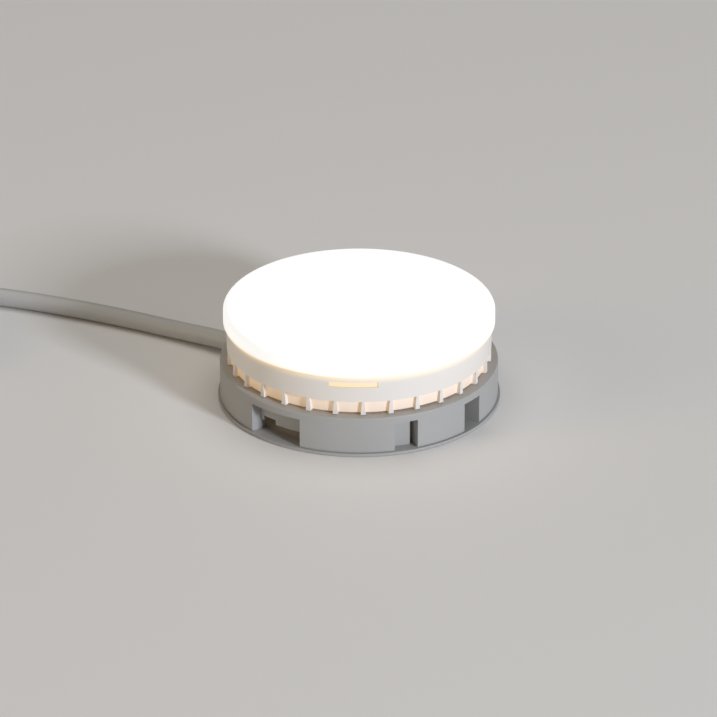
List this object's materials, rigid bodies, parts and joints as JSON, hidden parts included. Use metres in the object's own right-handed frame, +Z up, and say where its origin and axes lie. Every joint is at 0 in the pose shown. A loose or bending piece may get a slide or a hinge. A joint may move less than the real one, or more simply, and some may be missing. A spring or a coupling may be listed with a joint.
{
  "type": "led disc lamp",
  "caption": "Flat round LED lamp with a twist-lock cap, locked in its low surface holder, with a white mains lead, put-away coil and flat plug.",
  "frame": {"origin": "centre of the holder's underside, on the table", "axes": "+Z up along the lamp's axis, -Y towards the front of the picture, +X to its right; the mains lead leaves at the rear left"},
  "size_m": [0.2463, 0.128, 0.028],
  "materials": {
    "opal_cover": "satin opal",
    "housing_plastic": "fine satin",
    "holder_plastic": "satin moulding",
    "pin_brass": "nickel flash",
    "spring_bronze": "rolled strip",
    "terminal_brass": "sawn bar",
    "screw_steel": "zinc plated",
    "spreader_aluminium": "pressed sheet",
    "board_white": "solder mask",
    "led_phosphor": "silicone",
    "board_fibreglass": "solder mask",
    "capacitor_sleeve": "shrink film",
    "film_epoxy": "dipped epoxy",
    "inductor_sleeve": "shrink film",
    "package_epoxy": "moulded epoxy",
    "resistor_coat": "lacquer",
    "wire_white": "wire insulation",
    "wire_red": "wire insulation",
    "core_brown": "wire insulation",
    "core_blue": "wire insulation",
    "cable_sheath": "soft sheath",
    "plug_plastic": "fine moulded grain",
    "plug_nickel": "nickel plate"
  },
  "bodies": {
    "holder": {"holder_body": "holder_plastic", "base_plate": "holder_plastic", "cable_clamp": "holder_plastic", "contact_spring_left": "spring_bronze", "contact_spring_right": "spring_bronze", "terminal_block_left": "terminal_brass", "terminal_block_right": "terminal_brass", "terminal_screws": "screw_steel", "cover_screws": "screw_steel", "clamp_screws": "screw_steel", "core_live": "core_brown", "core_neutral": "core_blue", "cable_lead": "cable_sheath", "cable_coil": "cable_sheath", "cable_tail": "cable_sheath", "plug_body": "plug_plastic", "plug_pins": "plug_nickel"},
    "lamp": {"lamp_housing": "housing_plastic", "diffuser": "opal_cover", "cap_base": "housing_plastic", "contact_pins": "pin_brass", "heat_spreader": "spreader_aluminium", "led_board": "board_white", "led_chips": "led_phosphor", "board_screws": "screw_steel", "driver_board": "board_fibreglass", "bulk_capacitor": "capacitor_sleeve", "film_capacitor": "film_epoxy", "inductor": "inductor_sleeve", "bridge_rectifier": "package_epoxy", "driver_chip": "package_epoxy", "fuse_resistor": "resistor_coat", "pin_wires": "wire_white", "led_wires": "wire_red"}
  },
  "joints": [
    {"name": "lamp_twist", "type": "hinge", "parent": "holder", "child": "lamp", "pos_m": [0, 0, 0.0114], "axis": [0, 0, 1], "range_deg": [0, 20]}
  ]
}
